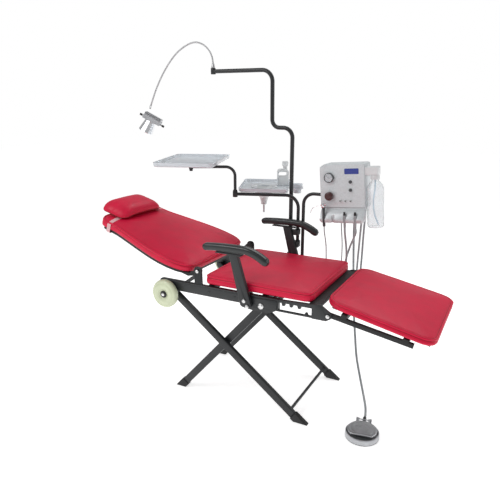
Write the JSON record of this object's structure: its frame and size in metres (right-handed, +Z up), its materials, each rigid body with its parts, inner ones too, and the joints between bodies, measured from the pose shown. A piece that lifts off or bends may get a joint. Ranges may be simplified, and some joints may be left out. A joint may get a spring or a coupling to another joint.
{
  "type": "portable folding dental chair",
  "caption": "Reclining folding dental chair on crossed legs with armrests, lamp, instrument tray, cuspidor, compressed-air turbine unit and foot pedal.",
  "frame": {"origin": "on the floor, under the middle of the whole chair with its equipment", "axes": "+X towards the foot end, +Y towards the equipment side, +Z up"},
  "size_m": [1.8979, 0.9865, 1.7739],
  "materials": {
    "frame_black": "semi-gloss powder coat",
    "board_black": "plywood boards and bars, painted black",
    "red_leather": "soft vinyl leather",
    "strap_pink": "elastic webbing",
    "black_plastic": "fine grain",
    "foot_rubber": "matt",
    "steel": "zinc plated",
    "wheel_ivory": "moulded nylon",
    "grey_case": "hammered light grey",
    "clear_white": "translucent white",
    "white_plastic": "moulded",
    "clear_bottle": "clear PET",
    "hose_grey": "smooth hose",
    "chrome": "polished",
    "alu": "die-cast, satin",
    "dark_red": "knob",
    "lens": "clear lens"
  },
  "bodies": {
    "seat_frame": {"side_rail_near": "frame_black", "side_rail_far": "frame_black", "seat_subframe": "board_black", "seat_cushion": "red_leather", "equipment_bracket": "frame_black", "wheel_hub_near": "black_plastic", "wheel_hub_far": "black_plastic", "armrest_post_far": "frame_black", "armrest_pad_far": "black_plastic", "pedal_base": "alu", "pedal_hose": "hose_grey"},
    "outer_legs": {"outer_leg_frame": "frame_black", "outer_foot_near": "foot_rubber", "outer_foot_far": "foot_rubber"},
    "inner_legs": {"inner_leg_frame": "frame_black", "inner_foot_near": "foot_rubber", "inner_foot_far": "foot_rubber", "scissor_bolt_near": "steel", "scissor_bolt_far": "steel"},
    "wheel_near": {"wheel_near": "wheel_ivory"},
    "wheel_far": {"wheel_far": "wheel_ivory"},
    "backrest": {"backrest_frame": "board_black", "backrest_cushion": "red_leather"},
    "headrest": {"pillow": "red_leather", "pillow_strap": "strap_pink"},
    "legrest": {"legrest_frame": "board_black", "legrest_cushion": "red_leather"},
    "armrest_near": {"armrest_post_near": "frame_black", "armrest_pad_near": "black_plastic"},
    "lamp_pole": {"lamp_pole": "frame_black"},
    "lamp_neck": {"lamp_gooseneck": "chrome"},
    "lamp_head": {"lamp_heatsink": "alu", "lamp_shade": "alu", "lamp_lens": "lens"},
    "cuspidor_carrier": {"tray_tube": "frame_black", "cuspidor_tray": "clear_white", "cuspidor_bowl": "white_plastic", "rinse_jug": "white_plastic", "rinse_cup": "clear_white"},
    "tray_arm": {"tray_arm": "frame_black"},
    "instrument_tray": {"instrument_tray": "clear_white"},
    "turbine_unit": {"turbine_post": "frame_black", "turbine_unit_case": "grey_case", "pressure_gauge": "chrome", "bottle_holder": "black_plastic", "air_water_syringe": "chrome", "hose_connector_a": "black_plastic", "hose_connector_b": "black_plastic", "syringe_hose": "hose_grey", "handpiece_hose_a": "hose_grey", "handpiece_hose_b": "hose_grey"},
    "regulator_knob": {"regulator_knob": "dark_red"},
    "valve_knob_upper": {"valve_knob_upper": "black_plastic"},
    "valve_knob_lower": {"valve_knob_lower": "black_plastic"},
    "toggle_1": {"toggle_1": "chrome"},
    "toggle_2": {"toggle_2": "chrome"},
    "toggle_3": {"toggle_3": "chrome"},
    "water_bottle": {"water_bottle": "clear_bottle"},
    "pedal_plate": {"pedal_plate": "chrome"}
  },
  "joints": [
    {"name": "backrest_recline", "type": "hinge", "parent": "seat_frame", "child": "backrest", "pos_m": [-0.147, -0.1715, 0.68], "axis": [0, 1, 0], "range_deg": [-16, 16]},
    {"name": "pillow_slide", "type": "slide", "parent": "backrest", "child": "headrest", "axis": [-0.9613, 0, 0.2756], "range_m": [-0.03, 0.02]},
    {"name": "legrest_drop", "type": "hinge", "parent": "seat_frame", "child": "legrest", "pos_m": [0.507, -0.1715, 0.578], "axis": [0, 1, 0], "range_deg": [-12, 78]},
    {"name": "outer_leg_fold", "type": "hinge", "parent": "seat_frame", "child": "outer_legs", "pos_m": [-0.325, -0.1715, 0.545], "axis": [0, 1, 0], "range_deg": [-36, 0]},
    {"name": "inner_leg_fold", "type": "hinge", "parent": "seat_frame", "child": "inner_legs", "pos_m": [0.193, -0.1715, 0.568], "axis": [0, 1, 0], "range_deg": [0, 47.1]},
    {"name": "wheel_near_spin", "type": "hinge", "parent": "seat_frame", "child": "wheel_near", "pos_m": [-0.325, -0.468, 0.545], "axis": [0, 1, 0], "continuous": true},
    {"name": "wheel_far_spin", "type": "hinge", "parent": "seat_frame", "child": "wheel_far", "pos_m": [-0.325, 0.125, 0.545], "axis": [0, 1, 0], "continuous": true},
    {"name": "armrest_near_fold", "type": "hinge", "parent": "seat_frame", "child": "armrest_near", "pos_m": [0.122, -0.4665, 0.59], "axis": [0, -1, 0], "range_deg": [0, 90]},
    {"name": "lamp_pole_swivel", "type": "hinge", "parent": "seat_frame", "child": "lamp_pole", "pos_m": [0.053, 0.1935, 0.6], "axis": [0, 0, 1], "range_deg": [-60, 60]},
    {"name": "lamp_neck_swivel", "type": "hinge", "parent": "lamp_pole", "child": "lamp_neck", "pos_m": [-0.431, 0.1935, 1.625], "axis": [0, 0, 1], "range_deg": [-90, 90]},
    {"name": "lamp_head_turn", "type": "hinge", "parent": "lamp_neck", "child": "lamp_head", "pos_m": [-0.882, 0.1935, 1.412], "axis": [-0.4125, 0, -0.911], "range_deg": [-80, 80]},
    {"name": "tray_tube_swivel", "type": "hinge", "parent": "seat_frame", "child": "cuspidor_carrier", "pos_m": [0.109, 0.1635, 0.75], "axis": [0, 0, 1], "range_deg": [0, 70]},
    {"name": "tray_arm_swivel", "type": "hinge", "parent": "cuspidor_carrier", "child": "tray_arm", "pos_m": [-0.21513, 0.0468, 0.97], "axis": [0, 0, 1], "range_deg": [-75, 75]},
    {"name": "instrument_tray_swivel", "type": "hinge", "parent": "tray_arm", "child": "instrument_tray", "pos_m": [-0.42351, -0.06399, 1.135], "axis": [0, 0, 1], "range_deg": [-90, 90]},
    {"name": "turbine_swivel", "type": "hinge", "parent": "seat_frame", "child": "turbine_unit", "pos_m": [0.139, 0.1635, 0.6], "axis": [0, 0, 1], "range_deg": [0, 60], "deforming": ["pedal_hose"]},
    {"name": "regulator_turn", "type": "hinge", "parent": "turbine_unit", "child": "regulator_knob", "pos_m": [0.29799, 0.1235, 0.98899], "axis": [0, -1, 0], "range_deg": [-150, 150]},
    {"name": "valve_turn_upper", "type": "hinge", "parent": "turbine_unit", "child": "valve_knob_upper", "pos_m": [0.40201, 0.1235, 1.068], "axis": [0, -1, 0], "range_deg": [-135, 135]},
    {"name": "valve_turn_lower", "type": "hinge", "parent": "turbine_unit", "child": "valve_knob_lower", "pos_m": [0.40524, 0.1235, 1.02702], "axis": [0, -1, 0], "range_deg": [-135, 135]},
    {"name": "bottle_unscrew", "type": "hinge", "parent": "turbine_unit", "child": "water_bottle", "pos_m": [0.52559, 0.1485, 1.00811], "axis": [-0.0785, 0, 0.9969], "range_deg": [0, 270]},
    {"name": "pedal_press", "type": "hinge", "parent": "seat_frame", "child": "pedal_plate", "pos_m": [0.65314, -0.29576, 0.0365], "axis": [0.9837, 0.1799, 0], "range_deg": [0, 5], "stiffness_Nm_per_rad": 2, "springref_deg": -9.74},
    {"name": "toggle_1_flip", "type": "hinge", "parent": "turbine_unit", "child": "toggle_1", "pos_m": [0.35524, 0.1165, 0.96762], "axis": [0.9969, 0, 0.0785], "range_deg": [-14, 14]},
    {"name": "toggle_2_flip", "type": "hinge", "parent": "turbine_unit", "child": "toggle_2", "pos_m": [0.38206, 0.1165, 0.96973], "axis": [0.9969, 0, 0.0785], "range_deg": [-14, 14]},
    {"name": "toggle_3_flip", "type": "hinge", "parent": "turbine_unit", "child": "toggle_3", "pos_m": [0.40868, 0.1165, 0.97182], "axis": [0.9969, 0, 0.0785], "range_deg": [-14, 14]}
  ],
  "couplings": [
    {"joint": "inner_leg_fold", "follows": "outer_leg_fold", "ratio": -1.305}
  ]
}
